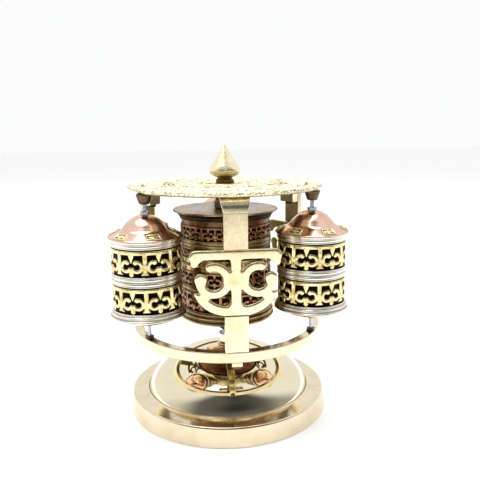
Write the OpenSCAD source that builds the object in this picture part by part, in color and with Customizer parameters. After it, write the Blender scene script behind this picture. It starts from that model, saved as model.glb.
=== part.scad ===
// Table prayer wheel: a revolving brass carousel on a domed base. Three small copper and brass
// prayer wheels turn on their own axles around one large wheel, under a round cast canopy.
// Millimetres, +Z up, origin on the spindle axis at the plane of the foot, front towards -Y.

/* [Base] */
// Diameter of the foot
base_d = 131; // [124:1:138]
// Height of the skirt and its sloping shoulder
rim_h = 13; // [12:0.5:14]
// Diameter of the polished dome where it meets the rim
dome_d = 106.4; // [102:0.2:108]
// Height of the dome above the rim
dome_h = 26.6; // [25:0.2:27]

/* [Carousel frame] */
// Outer diameter of the hoop that carries the posts and the axles
ring_d = 122; // [120:0.5:124]
// Radial width of the hoop
ring_w = 5.8; // [5:0.2:6.6]
// Height of the hoop's underside above the table
ring_z = 50.2; // [49.5:0.1:51]
// Height of the hoop itself
ring_h = 6.2; // [5.6:0.1:6.6]
// Width of each flat post
post_w = 13.5; // [12:0.5:15]
// Thickness of each flat post
post_t = 3; // [2.5:0.1:3.4]
// Diameter of the cast canopy
disc_d = 124; // [123:0.5:128]
// Height of the canopy's underside above the table
disc_z = 144.8; // [144:0.1:147]
// Thickness of the canopy
disc_t = 3; // [2.6:0.1:3.6]
// Overall width of the openwork scroll plate on each post
plate_w = 52; // [46:1:54]
// Height of the openwork scroll plate on each post
plate_h = 38.4; // [36:0.2:40]

/* [Small wheels] */
// Radius of the small wheels' barrels
wheel_r = 20; // [19:0.1:20.4]
// Height of each raised frieze on a small wheel
wheel_frieze_h = 15.8; // [15:0.1:16]
// Height of the small wheels' lowest moulding above the table
wheel_z = 72.5; // [72:0.1:73]

/* [Centre wheel] */
// Radius of the centre wheel's barrel
centre_r = 28.6; // [27:0.1:29]
// Height of the centre wheel's lowest moulding above the table
centre_z = 61.4; // [61:0.1:62]

/* [Hidden] */
$fn = 96;
arc_steps = 14;
running = 0.08;       // radial clearance of a shaft in its bearing
gap = 0.2;            // axial clearance between faces that turn on each other
through = 1;          // how far a cutting tool runs past the face that it opens

stations = 3;
station_turn = 360 / stations;
post_turns = [0, station_turn, 2 * station_turn];
wheel_turns = [for (t = post_turns) t + station_turn / 2];

// Rods
spindle_r = 2.25;
axle_r = 1.25;
axle_orbit = ring_d / 2 - ring_w / 2;
axle_socket = 2.6;
axle_collar_r = 2.6;
axle_collar_h = 1.5;

// Base
dome_wall = 1.5;
dome_edge = 8;        // degrees up its ellipse at which the dome leaves the rim
skirt_wall = 2.6;
skirt_taper = 1.4;
skirt_foot_h = 1;      // upright part of the skirt at the table
shoulder_fall = 1;
edge_round = 1.4;
seat_clear = 0.1;
seat_depth = 2.5;
shelf_w = 2.8;
shelf_t = 2;
bead_r = 0.9;
bead_at = dome_d / 2 + 1.1;
bead_drop = 0.3;
shoulder_in = dome_d / 2 + 2.2;
bush_lift = 0.05;      // between the dome's crown and the flange of the bush
bush_flange_r = 6.5;
bush_flange_t = 0.95;
bush_stem_r = 3.5;
bush_top_r = 4.5;
bush_cone_r = 4.9;
bush_cone_h = 1.2;
washer_r = 5.5;
washer_t = 0.9;
washer_clear = 0.3;
apex_z = rim_h + dome_h;
bush_tail_z = apex_z - 5.6;
spindle_tail = 12;
lock_washer_t = 1;

// Carousel
bar_w = 6;
bar_t = 2.5;
bar_end_in = 0.2;      // how far the bar's ends stop short of the hoop's edge
bar_z = ring_z - bar_t;
ring_top = ring_z + ring_h;
thrust_z = bar_z - gap - washer_t;
nut_r = 4.9;
nut_t = 3.2;
clamp_nut_t = 3.6;
rest_collar_r = 4;
screw_r = 1.5;
screw_head_r = 2.6;
screw_head_t = 1.4;
bar_screw_depth = 2.8;
post_out = ring_d / 2 - 0.5;
post_in = post_out - post_t;
plate_top = 116.2;
plate_base = plate_top - plate_h;
bracket_t = 1;         // of the leg outside the post
bracket_h = 8.5;       // from the foot of that leg up to the canopy
bracket_w = post_w - 0.5;
bracket_flare = 4.2;   // how much wider the lug is at the canopy
bracket_bend = 6;
lug_t = 5;             // of the block inside the post
lug_h = 13.3;          // from the foot of that block up to the canopy
lug_in = post_in - lug_t;
tab_t = 4;             // between the post's head and the canopy
post_top = disc_z - tab_t;
tab_screw_at = post_in - lug_t / 2;
tab_screw_head_r = 2.4;
tab_screw_head_t = 1.4;
tab_screw_depth = 1.8;
disc_top = disc_z + disc_t;
foot_nut_r = 2.7;
foot_nut_t = 1.6;
axle_bush_h = 6;
axle_bush_top_r = 4.7;
axle_bush_end_r = 3.3;
axle_bush_edge = 0.6;  // chamfer at the lower end of a bush
axle_bush_band = 1;    // upright part at its head
finial_washer_t = 0.8;
finial_washer_r = 6.2;
finial_z = disc_top + finial_washer_t;
finial_r = 9.9;
finial_neck_r = 4.7;
finial_tip_z = finial_z + 24;
spindle_top = finial_z + 13.4;

// Small wheels, from the bottom up
sheet = 0.9;
foot_moulding_h = 4.9;
band_moulding_h = 6.2;
top_moulding_h = 4.4;
frieze_proud = 0.8;
frieze_1_z = wheel_z + foot_moulding_h;
band_moulding_z = frieze_1_z + wheel_frieze_h;
frieze_2_z = band_moulding_z + band_moulding_h;
top_moulding_z = frieze_2_z + wheel_frieze_h;
barrel_top = top_moulding_z + top_moulding_h;
lid_rim_r = wheel_r + 2.6;
lid_crown_z = barrel_top + 13.6;
lid_crown_r = 15.3;
lid_crown_end = 33;
lid_hollow = [13.9, 5.6];
lid_flare = [17, 3.3];
cap_drop = 5.6;
tube_r = 2.9;
tube_base = wheel_z - cap_drop - 0.4;
tube_top = lid_crown_z + 1.4;
plaques = 6;
plaque_turn = 22;
plaque_start = -74;
plaque_t = 0.7;
plaque_in = lid_flare[0];
plaque_out = 21.6;
roll_r = 12;

// Centre wheel, from the bottom up
centre_foot_h = 7.6;
centre_frieze_h = [12.4, 10, 7.2, 9.1];
centre_band_h = [3.6, 7.5, 4.6];
centre_frieze_proud = 0.7;
centre_plain_h = 2.6;
centre_flare_h = 5.6;
centre_barrel_z = centre_z + 1;
centre_frieze_z = [for (i = [0:3])
    centre_z + centre_foot_h + sum(centre_frieze_h, i) + sum(centre_band_h, i)];
centre_band_z = [for (i = [0:2]) centre_frieze_z[i] + centre_frieze_h[i]];
centre_flare_z = centre_frieze_z[3] + centre_frieze_h[3] + centre_plain_h;
centre_top = centre_flare_z + centre_flare_h;
centre_lid_r = centre_r + 5;
centre_tube_r = 4.2;
centre_tube_base = centre_z - 1;
centre_nut_r = 7.2;
centre_nut_t = 4.6;
centre_cap_w = 4;
centre_cap_rise = 0.4;
centre_cap_t = 1;
centre_roll_r = 20;

WHEELS = ["right", "rear", "left"];

// ---------- helpers ----------

// Sum of the first n entries of a list.
function sum(list, n) = n <= 0 ? 0 : list[n - 1] + sum(list, n - 1);

// Points of an elliptical arc about [cx, cy] with half-axes a and b.
function arc(cx, cy, a, b, from, to, steps = arc_steps) =
    [for (i = [0:steps]) let (t = from + (to - from) * i / steps) [cx + a * cos(t), cy + b * sin(t)]];

// A list of points in the opposite order.
function back(points) = [for (i = [len(points) - 1:-1:0]) points[i]];

// Outer edge of a turned moulding: a run of round beads on a straight taper.
function beads(z, h, r_base, r_top, proud, count) =
    [for (i = [0:count * 6]) let (t = i / (count * 6))
        [r_base + (r_top - r_base) * t + proud * abs(sin(180 * count * t)), z + h * t]];

module turned(points) rotate_extrude() polygon(points);

module sleeve(r_in, r_out, z, h) turned([[r_in, z], [r_out, z], [r_out, z + h], [r_in, z + h]]);

module moulding(r_in, z, h, r_base, r_top, proud, count)
    turned(concat([[r_in, z]], beads(z, h, r_base, r_top, proud, count), [[r_in, z + h]]));

module hex_nut(r, bore, z, h)
    translate([0, 0, z]) difference() {
        cylinder(h = h, r = r, $fn = 6);
        translate([0, 0, -through]) cylinder(h = h + 2 * through, r = bore);
    }

module rod(r, z, top) translate([0, 0, z]) cylinder(h = top - z, r = r);

// Puts its children, drawn facing -Y, at one of the frame's stations.
module at(turn) rotate([0, 0, turn]) children();

module on_orbit(turn, radius = axle_orbit) at(turn) translate([0, -radius, 0]) children();

// ---------- base ----------

module base_rim() color("tan")
    turned(concat(
        [[base_d / 2 - skirt_wall, 0], [base_d / 2, 0], [base_d / 2, skirt_foot_h]],
        arc(base_d / 2 - skirt_taper - edge_round, rim_h - edge_round - shoulder_fall,
            edge_round, edge_round, 0, 80, 6),
        [[shoulder_in, rim_h - bead_drop - 0.1]],
        arc(bead_at, rim_h - bead_drop, bead_r, bead_r, 10, 170, 8),
        [[dome_d / 2 + seat_clear, rim_h - bead_drop],
         [dome_d / 2 + seat_clear, rim_h - seat_depth],
         [dome_d / 2 - shelf_w, rim_h - seat_depth],
         [dome_d / 2 - shelf_w, rim_h - seat_depth - shelf_t],
         [base_d / 2 - skirt_wall, rim_h - seat_depth - shelf_t]]));

module base_dome() color("khaki") {
    a = dome_d / 2 / cos(dome_edge);
    b = dome_h / (1 - sin(dome_edge));
    mid_z = apex_z - b;
    end_out = acos(bush_stem_r / a);
    end_in = acos(bush_stem_r / (a - dome_wall));
    turned(concat(
        [[dome_d / 2, rim_h - seat_depth]],
        arc(0, mid_z, a, b, dome_edge, end_out, 40),
        back(arc(0, mid_z, a - dome_wall, b - dome_wall, dome_edge, end_in, 40)),
        [[(a - dome_wall) * cos(dome_edge), rim_h - seat_depth]]));
}

module pivot_bush() color("goldenrod") {
    flange_z = apex_z + bush_lift;
    flange_top = flange_z + bush_flange_t;
    turned([
        [spindle_r + running, bush_tail_z], [bush_stem_r, bush_tail_z],
        [bush_stem_r, flange_z], [bush_flange_r, flange_z], [bush_flange_r, flange_top],
        [bush_cone_r, flange_top + bush_cone_h], [bush_top_r, thrust_z], [spindle_r + running, thrust_z]]);
}

module thrust_washer() color("silver") sleeve(spindle_r + washer_clear, washer_r, thrust_z, washer_t);

// ---------- spindle and what is clamped on it ----------

module spindle() color("lightsteelblue") rod(spindle_r, bush_tail_z - spindle_tail, spindle_top);

module spindle_lock_nuts() color("dimgray") {
    first = bush_tail_z - gap - lock_washer_t;
    sleeve(spindle_r, washer_r, first, lock_washer_t);
    for (i = [1, 2]) hex_nut(nut_r, spindle_r, first - i * nut_t - (i - 1) * gap, nut_t);
}

module clamp_nut() color("dimgray") hex_nut(nut_r, spindle_r, ring_z, clamp_nut_t);

module centre_rest_collar() color("goldenrod")
    sleeve(spindle_r, rest_collar_r, ring_z + clamp_nut_t, centre_tube_base - gap - ring_z - clamp_nut_t);

module centre_retaining_nut() color("darkslategray")
    hex_nut(centre_nut_r, spindle_r, centre_top + gap, centre_nut_t);

// ---------- carousel frame ----------

module cross_bar() color("tan")
    difference() {
        intersection() {
            translate([-bar_w / 2, -ring_d / 2, bar_z]) cube([bar_w, ring_d, bar_t]);
            translate([0, 0, bar_z - through]) cylinder(h = bar_t + 2 * through, r = ring_d / 2 - bar_end_in);
        }
        translate([0, 0, bar_z - through]) cylinder(h = bar_t + 2 * through, r = spindle_r);
        for (turn = [0, 180])
            on_orbit(turn) translate([0, 0, bar_z - through]) cylinder(h = bar_t + 2 * through, r = screw_r);
    }

module cross_bar_screws() color("gray")
    for (turn = [0, 180]) on_orbit(turn) {
        rod(screw_head_r, bar_z - screw_head_t, bar_z);
        rod(screw_r, bar_z, ring_z + bar_screw_depth);
    }

module lower_ring() color("wheat")
    difference() {
        sleeve(ring_d / 2 - ring_w, ring_d / 2, ring_z, ring_h);
        for (turn = wheel_turns)
            on_orbit(turn) rod(axle_r, ring_top - axle_socket, ring_top + through);
        for (turn = [0, 180])
            on_orbit(turn) rod(screw_r, ring_z - through, ring_z + bar_screw_depth);
    }

// One post is two straight lengths of flat bar, brazed to the scroll plate between them.
module post(turn) color("wheat")
    at(turn) for (span = [[ring_top, plate_base], [plate_top, post_top]])
        translate([-post_w / 2, -post_out, span[0]]) cube([post_w, post_t, span[1] - span[0]]);

// Half of the openwork scroll, drawn for x > 0 about the plate's centre: a rail that ends in a
// drooping knob, a volute with two round buds, and a crescent that rises from the foot.
module half_scroll() {
    half_w = plate_w / 2;
    half_h = plate_h / 2;
    stem = 2.9;
    rail_h = 5.8;
    knob_r = 3.9;
    volute = [half_w / 2 - 0.6, 1.7];
    volute_out = half_w * 0.4;
    volute_in = half_w * 0.2;
    bud_r = (volute_out - volute_in) / 2 + 0.1;
    crescent_out = half_w - 4.6;
    crescent_in = half_w - 9.6;
    translate([0, -half_h]) square([stem, 2 * half_h]);
    translate([0, half_h - rail_h]) square([half_w - knob_r, rail_h]);
    translate([half_w - knob_r, half_h - knob_r]) circle(r = knob_r);
    translate([half_w - knob_r + 1, half_h - 2 * knob_r]) circle(r = 2.2);
    polygon([[0, -half_h], [post_w / 2, -half_h], [post_w / 2, 3 - half_h], [stem, 9 - half_h],
             [0, 9 - half_h]]);
    translate(volute) {
        difference() {
            circle(r = volute_out);
            circle(r = volute_in);
            polygon([[0, 0], [3, volute_out + 1], [volute_out + 1, volute_out + 1], [volute_out + 1, 1.5]]);
        }
        translate([2, (volute_out + volute_in) / 2 - 0.2]) circle(r = bud_r);
        translate([(volute_out + volute_in) / 2 - 0.4, 0.8]) circle(r = bud_r + 0.9);
    }
    intersection() {
        translate([4, 2.2]) difference() {
            circle(r = crescent_out);
            translate([0.4, 1.2]) circle(r = crescent_in);
        }
        polygon([[1, -half_h], [1, -12], [half_w - 3, -4.6], [half_w, -6.4], [half_w, -half_h]]);
    }
}

module scroll_plate(turn) color("wheat")
    at(turn) translate([0, -post_in, plate_base + plate_h / 2]) rotate([90, 0, 0])
        linear_extrude(height = post_t) union() {
            half_scroll();
            mirror([1, 0]) half_scroll();
        }

// A cast lug straddles the head of each post: a flared leg outside it, a rounded bend over the top and
// a block inside it, through which a screw passes up into the canopy.
module post_brackets() color("burlywood")
    for (turn = post_turns) at(turn) difference() {
        intersection() {
            rotate([90, 0, 90]) linear_extrude(height = 2 * post_w, center = true) polygon(concat(
                [[-post_out - bracket_t, disc_z - bracket_h]],
                arc(-post_out - bracket_t + bracket_bend, disc_z - bracket_bend,
                    bracket_bend, bracket_bend, 180, 90, 8),
                [[-lug_in, disc_z], [-lug_in, disc_z - lug_h], [-post_in, disc_z - lug_h],
                 [-post_in, post_top], [-post_out, post_top], [-post_out, disc_z - bracket_h]]));
            translate([0, -lug_in + through, 0]) rotate([90, 0, 0])
                linear_extrude(height = ring_d / 2) polygon([
                    [-bracket_w / 2, disc_z - lug_h], [bracket_w / 2, disc_z - lug_h],
                    [bracket_w / 2, disc_z - bracket_h], [(bracket_w + bracket_flare) / 2, disc_z],
                    [-(bracket_w + bracket_flare) / 2, disc_z], [-bracket_w / 2, disc_z - bracket_h]]);
        }
        translate([0, -tab_screw_at, 0]) rod(screw_r, disc_z - lug_h - through, disc_z + through);
    }

module bracket_screws() color("darkslategray")
    for (turn = post_turns) on_orbit(turn, tab_screw_at) {
        rod(tab_screw_head_r, disc_z - lug_h - tab_screw_head_t, disc_z - lug_h);
        rod(screw_r, disc_z - lug_h, disc_z + tab_screw_depth);
    }

module top_disc() color("palegoldenrod") {
    r = disc_d / 2;
    difference() {
        turned([[spindle_r, disc_z], [r - 1.6, disc_z], [r, disc_z + 1.2], [r, disc_top - 0.8],
                [r - 1, disc_top], [spindle_r, disc_top]]);
        for (turn = post_turns)
            on_orbit(turn, tab_screw_at) rod(screw_r, disc_z - through, disc_z + tab_screw_depth);
    }
}

module finial_washer() color("darkgoldenrod") sleeve(spindle_r, finial_washer_r, disc_top, finial_washer_t);

module finial() color("gold") {
    belly_z = finial_z + 7.2;
    turned(concat(
        [[spindle_r, finial_z], [5.8, finial_z], [5.8, finial_z + 1.6], [finial_neck_r, finial_z + 2.2],
         [finial_neck_r, finial_z + 3]],
        arc(0, belly_z, finial_r, 4.2, -60, 25, 10),
        [[6.1, finial_z + 14.4], [3.5, finial_z + 18.4], [0.5, finial_tip_z], [0, finial_tip_z],
         [0, spindle_top], [spindle_r, spindle_top]]));
}

module axle_bushes() color("saddlebrown")
    for (turn = wheel_turns) on_orbit(turn)
        turned([[axle_r, disc_z - axle_bush_h], [axle_bush_end_r - axle_bush_edge, disc_z - axle_bush_h],
                [axle_bush_end_r, disc_z - axle_bush_h + axle_bush_edge],
                [axle_bush_top_r, disc_z - axle_bush_band],
                [axle_bush_top_r, disc_z], [axle_r, disc_z]]);

module axle_rest_collars() color("silver")
    for (turn = wheel_turns) on_orbit(turn)
        sleeve(axle_r, axle_collar_r, tube_base - gap - axle_collar_h, axle_collar_h);

module axle_foot_nuts() color("dimgray")
    for (turn = wheel_turns) on_orbit(turn) hex_nut(foot_nut_r, axle_r, ring_top, foot_nut_t);

module axle(turn) color("lightsteelblue") on_orbit(turn) rod(axle_r, ring_top - axle_socket, disc_z);

// ---------- centre wheel ----------

module centre_barrel() color("saddlebrown")
    sleeve(centre_r - sheet, centre_r, centre_barrel_z, centre_top - sheet - centre_barrel_z);

module centre_mouldings() color("darkkhaki") {
    moulding(centre_r, centre_z, centre_foot_h, centre_r + 2.2, centre_r + 0.7, 0.6, 3);
    for (i = [0:2])
        moulding(centre_r, centre_band_z[i], centre_band_h[i], centre_r + 0.8, centre_r + 0.8, 0.6, 2);
    turned(concat(
        [[centre_r, centre_flare_z]],
        arc(centre_lid_r + 0.4, centre_flare_z, 4.6, centre_flare_h - sheet - 0.4, 180, 90, 8),
        [[centre_lid_r, centre_top - sheet], [centre_r, centre_top - sheet]]));
}

module centre_friezes() color("sienna")
    for (i = [0:3])
        sleeve(centre_r, centre_r + centre_frieze_proud, centre_frieze_z[i], centre_frieze_h[i]);

// A flat lid with a slightly raised rolled edge rests on the flared moulding.
module centre_lid() color("rosybrown") {
    under = centre_top - sheet;
    turned(concat(
        [[centre_tube_r, under], [centre_lid_r - 0.2, under]],
        arc(centre_lid_r - 0.2, centre_top - sheet / 2 + 0.1, sheet / 2 + 0.1, sheet / 2 + 0.1, -80, 150, 8),
        [[centre_lid_r - 1.2, centre_top], [centre_tube_r, centre_top]]));
}

module centre_base_cap() color("peru") {
    flat_r = centre_r - centre_cap_w;
    turned([
        [centre_tube_r, centre_z + centre_cap_rise], [flat_r, centre_z], [centre_r, centre_z],
        [centre_r, centre_z + centre_cap_t], [flat_r, centre_z + centre_cap_t],
        [centre_tube_r, centre_z + centre_cap_rise + centre_cap_t]]);
}

module centre_tube() color("peru")
    sleeve(spindle_r + running, centre_tube_r, centre_tube_base, centre_top - centre_tube_base);

module centre_prayer_roll() color("antiquewhite")
    sleeve(centre_tube_r, centre_roll_r, centre_z + 3, centre_top - centre_z - 8);

// ---------- small wheels, all alike ----------

module wheel_barrel(turn) color("dimgray")
    on_orbit(turn) sleeve(wheel_r - sheet, wheel_r, wheel_z + 0.2, barrel_top - wheel_z - 0.2);

module wheel_mouldings(turn) color("gainsboro")
    on_orbit(turn) {
        moulding(wheel_r, wheel_z, foot_moulding_h, wheel_r + 2.7, wheel_r + 0.9, 0.5, 3);
        moulding(wheel_r, band_moulding_z, band_moulding_h, wheel_r + 1, wheel_r + 1, 0.6, 2);
        moulding(wheel_r, top_moulding_z, top_moulding_h, wheel_r + 0.9, wheel_r + 1.7, 0.5, 2);
    }

module wheel_friezes(turn) color("gold")
    on_orbit(turn) for (z = [frieze_1_z, frieze_2_z])
        sleeve(wheel_r, wheel_r + frieze_proud, z, wheel_frieze_h);

// Upper surface of the lid, from the tube out to the rim: a round crown, a hollow, and a straight flare.
function lid_top(from_r) = concat(
    arc(0, lid_crown_z - lid_crown_r, lid_crown_r, lid_crown_r, acos(from_r / lid_crown_r), lid_crown_end),
    [lid_hollow + [0, barrel_top], lid_flare + [0, barrel_top]],
    [[lid_rim_r - 0.3, barrel_top + 0.8], [lid_rim_r, barrel_top + 0.4]]);

module wheel_lid(turn) color("lightsalmon")
    on_orbit(turn) turned(concat(
        lid_top(tube_r), [[lid_rim_r, barrel_top], [wheel_r - 1, barrel_top]],
        [lid_flare + [-0.2, barrel_top - sheet], lid_hollow + [-0.4, barrel_top - sheet]],
        back(arc(0, lid_crown_z - lid_crown_r - sheet, lid_crown_r, lid_crown_r,
                 acos(tube_r / lid_crown_r), lid_crown_end))));

// Six cast plaques lie on the flare of each lid.
module wheel_lid_plaques(turn) color("khaki")
    on_orbit(turn) {
        slope = (lid_flare[1] - 0.8) / (lid_rim_r - 0.3 - lid_flare[0]);
        inner_z = barrel_top + lid_flare[1];
        outer_z = inner_z - slope * (plaque_out - plaque_in);
        for (i = [0:plaques - 1])
            rotate([0, 0, i * 360 / plaques - plaque_turn / 2 + plaque_start])
                rotate_extrude(angle = plaque_turn) polygon([
                    [plaque_in, inner_z], [plaque_out, outer_z],
                    [plaque_out, outer_z + plaque_t], [plaque_in, inner_z + plaque_t]]);
    }

module wheel_base_cap(turn) color("lightsalmon")
    on_orbit(turn) {
        out_r = wheel_r - sheet;
        in_r = wheel_r - 2 * sheet;
        turned(concat(
            [[out_r, wheel_z + 2]],
            arc(0, wheel_z, out_r, cap_drop, 0, -acos(tube_r / out_r)),
            back(arc(0, wheel_z, in_r, cap_drop - sheet, 0, -acos(tube_r / in_r))),
            [[in_r, wheel_z + 2]]));
    }

module wheel_tube(turn) color("peru")
    on_orbit(turn) sleeve(axle_r + running, tube_r, tube_base, tube_top - tube_base);

module wheel_prayer_roll(turn) color("antiquewhite")
    on_orbit(turn) sleeve(tube_r, roll_r, wheel_z + 1, barrel_top - wheel_z - 2);

// ---------- assembly ----------

base_rim();
base_dome();
pivot_bush();
thrust_washer();
spindle();
spindle_lock_nuts();
clamp_nut();
centre_rest_collar();
centre_retaining_nut();
cross_bar();
cross_bar_screws();
lower_ring();
post(post_turns[0]);  // post_front
post(post_turns[1]);  // post_right
post(post_turns[2]);  // post_left
scroll_plate(post_turns[0]);  // scroll_plate_front
scroll_plate(post_turns[1]);  // scroll_plate_right
scroll_plate(post_turns[2]);  // scroll_plate_left
post_brackets();
bracket_screws();
top_disc();
finial_washer();
finial();
axle_bushes();
axle_rest_collars();
axle_foot_nuts();
centre_barrel();
centre_mouldings();
centre_friezes();
centre_lid();
centre_base_cap();
centre_tube();
centre_prayer_roll();
for (i = [0:2]) {
    axle(wheel_turns[i]);
    wheel_barrel(wheel_turns[i]);
    wheel_mouldings(wheel_turns[i]);
    wheel_friezes(wheel_turns[i]);
    wheel_lid(wheel_turns[i]);
    wheel_lid_plaques(wheel_turns[i]);
    wheel_base_cap(wheel_turns[i]);
    wheel_tube(wheel_turns[i]);
    wheel_prayer_roll(wheel_turns[i]);
}
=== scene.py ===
import math

import bmesh
import bpy
import numpy as np
from mathutils import Matrix, Vector


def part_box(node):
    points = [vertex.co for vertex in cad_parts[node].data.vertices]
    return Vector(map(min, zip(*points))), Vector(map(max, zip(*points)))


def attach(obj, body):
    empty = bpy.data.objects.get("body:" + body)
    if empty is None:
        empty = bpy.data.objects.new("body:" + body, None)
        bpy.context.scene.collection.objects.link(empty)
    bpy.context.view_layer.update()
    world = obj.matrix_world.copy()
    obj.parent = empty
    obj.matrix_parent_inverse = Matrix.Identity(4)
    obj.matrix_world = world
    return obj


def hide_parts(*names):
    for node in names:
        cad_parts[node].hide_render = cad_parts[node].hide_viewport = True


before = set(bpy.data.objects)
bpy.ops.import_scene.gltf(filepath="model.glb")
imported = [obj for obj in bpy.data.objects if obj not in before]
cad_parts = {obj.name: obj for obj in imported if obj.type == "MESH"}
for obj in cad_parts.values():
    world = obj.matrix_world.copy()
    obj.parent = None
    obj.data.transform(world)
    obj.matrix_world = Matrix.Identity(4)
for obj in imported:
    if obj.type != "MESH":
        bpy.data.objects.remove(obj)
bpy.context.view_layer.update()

MM = 0.001
TAU = 2 * math.pi
SEED = 7


# ---------- small geometry helpers; lengths are millimetres until a mesh is made ----------

def box(node):
    """Lowest and highest corner of a CAD node, in millimetres."""
    lo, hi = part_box(node)
    return Vector(lo) / MM, Vector(hi) / MM


def arc(cx, cy, a, b, start, end, steps):
    t = np.radians(np.linspace(start, end, steps + 1))
    return [(cx + a * math.cos(v), cy + b * math.sin(v)) for v in t]


def smooth(points, steps=8):
    """A Catmull-Rom curve through the points of an open line."""
    p = [Vector(q) for q in points]
    p = [2 * p[0] - p[1]] + p + [2 * p[-1] - p[-2]]
    out = []
    for i in range(1, len(p) - 2):
        for k in range(steps):
            t = k / steps
            out.append(0.5 * (2 * p[i] + (p[i + 1] - p[i - 1]) * t
                              + (2 * p[i - 1] - 5 * p[i] + 4 * p[i + 1] - p[i + 2]) * t ** 2
                              + (3 * p[i] - p[i - 1] - 3 * p[i + 1] + p[i + 2]) * t ** 3))
    return [tuple(q) for q in out + [p[-2]]]


def rounded(points, radius, steps=4):
    """A closed outline with its corners rounded; a third number gives a corner its own radius."""
    out = []
    n = len(points)
    for i, q in enumerate(points):
        here = Vector(q[:2])
        r = q[2] if len(q) > 2 else radius
        a, b = Vector(points[i - 1][:2]) - here, Vector(points[(i + 1) % n][:2]) - here
        if r == 0 or here.x < 1e-6 or a.length < 1e-6 or b.length < 1e-6:
            out.append(tuple(here))
            continue
        half = max(a.angle(b) / 2, 0.05)
        t = min(r / math.tan(half), 0.45 * a.length, 0.45 * b.length)
        p0, p1 = here + a.normalized() * t, here + b.normalized() * t
        if (p1 - p0).length < 0.02:
            out.append(tuple(here))
            continue
        for k in range(steps + 1):
            f = k / steps
            out.append(tuple(p0 * (1 - f) ** 2 + here * 2 * f * (1 - f) + p1 * f ** 2))
    return out


def finish_mesh(name, verts, faces, body, mat, at=(0, 0, 0), nodes=(), values=None, weld=True):
    """An object of that mesh, shaded smooth, riding a body and standing for those CAD nodes."""
    me = bpy.data.meshes.new(name)
    me.from_pydata((np.asarray(verts) * MM).tolist(), [], faces)
    for key, v in (values or {}).items():
        me.attributes.new(key, "FLOAT", "POINT").data.foreach_set("value", np.asarray(v, dtype=float).ravel())
    bm = bmesh.new()
    bm.from_mesh(me)
    if weld:
        bmesh.ops.remove_doubles(bm, verts=bm.verts, dist=1e-7)
    bmesh.ops.recalc_face_normals(bm, faces=bm.faces)
    for f in bm.faces:
        f.smooth = True
    bm.to_mesh(me)
    bm.free()
    me.materials.append(mat)
    return place(name, me, body, at, nodes)


def place(name, me, body, at=(0, 0, 0), nodes=()):
    o = bpy.data.objects.new(name, me)
    bpy.context.collection.objects.link(o)
    o.matrix_world = Matrix.Translation(Vector(at) * MM)
    bpy.context.view_layer.update()
    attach(o, body)
    if nodes:
        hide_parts(*nodes)
    return o


def lathe_mesh(profiles, segments=160, groove=0.0):
    """Vertices, faces and the groove value of closed outlines turned about the axis."""
    verts, faces, low = [], [], []
    th = np.linspace(0, TAU, segments, endpoint=False)
    start = 0
    for profile in profiles:
        p = np.array(profile)
        n = len(p)
        v = np.empty((n, segments, 3))
        v[:, :, 0] = p[:, 0, None] * np.cos(th)
        v[:, :, 1] = p[:, 0, None] * np.sin(th)
        v[:, :, 2] = p[:, 1, None]
        verts.append(v.reshape(-1, 3))
        depth = hollow(p, groove) if groove else np.zeros(n)
        low.append(np.repeat(depth, segments))
        for i in range(n):
            j = (i + 1) % n
            for k in range(segments):
                m = (k + 1) % segments
                faces.append((start + i * segments + k, start + i * segments + m,
                              start + j * segments + m, start + j * segments + k))
        start += n * segments
    return np.concatenate(verts), faces, np.concatenate(low)


def hollow(p, reach):
    """How far each point of an outline lies in from its neighbours within that height, 0 to 1; it is the mask
    of the painted shade in grooves.
    """
    out = np.zeros(len(p))
    for i in range(len(p)):
        d = np.abs(p[:, 1] - p[i, 1])
        near = p[d < reach]
        out[i] = np.clip((near[:, 0].max() - p[i, 0]) / 0.55, 0, 1)
    return out


def lathe(name, profiles, body, mat, at=(0, 0, 0), nodes=(), segments=160, groove=0.0):
    verts, faces, low = lathe_mesh(profiles, segments, groove)
    o = finish_mesh(name, verts, faces, body, mat, at, nodes, {"low": low})
    return weighted(o)


def weighted(o):
    mod = o.modifiers.new("normals", "WEIGHTED_NORMAL")
    mod.keep_sharp = True
    return o


def grid_faces(n, m, wrap):
    """Faces of an n by m grid of vertices; wrap joins the last column to the first."""
    i = np.arange(n - 1)[:, None]
    j = np.arange(m if wrap else m - 1)[None, :]
    k = (j + 1) % m
    quad = np.stack(np.broadcast_arrays(i * m + j, i * m + k, (i + 1) * m + k, (i + 1) * m + j), -1)
    return quad.reshape(-1, 4).tolist()


# ---------- distance fields for the ornament ----------

def segment(u, v, ax, ay, bx, by):
    du, dv = bx - ax, by - ay
    t = np.clip(((u - ax) * du + (v - ay) * dv) / (du * du + dv * dv), 0, 1)
    return np.hypot(u - ax - t * du, v - ay - t * dv)


def arc_line(u, v, cx, cy, r, start, end):
    """Distance to an arc that runs anticlockwise from start to end, in degrees."""
    a = (np.degrees(np.arctan2(v - cy, u - cx)) - start) % 360
    span = end - start
    on = np.abs(np.hypot(u - cx, v - cy) - r)
    s, e = math.radians(start), math.radians(end)
    ends = np.minimum(np.hypot(u - cx - r * math.cos(s), v - cy - r * math.sin(s)),
                      np.hypot(u - cx - r * math.cos(e), v - cy - r * math.sin(e)))
    return np.where(a <= span, on, ends)


def step(x, lo, hi):
    t = np.clip((x - lo) / (hi - lo), 0, 1)
    return t * t * (3 - 2 * t)


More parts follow.
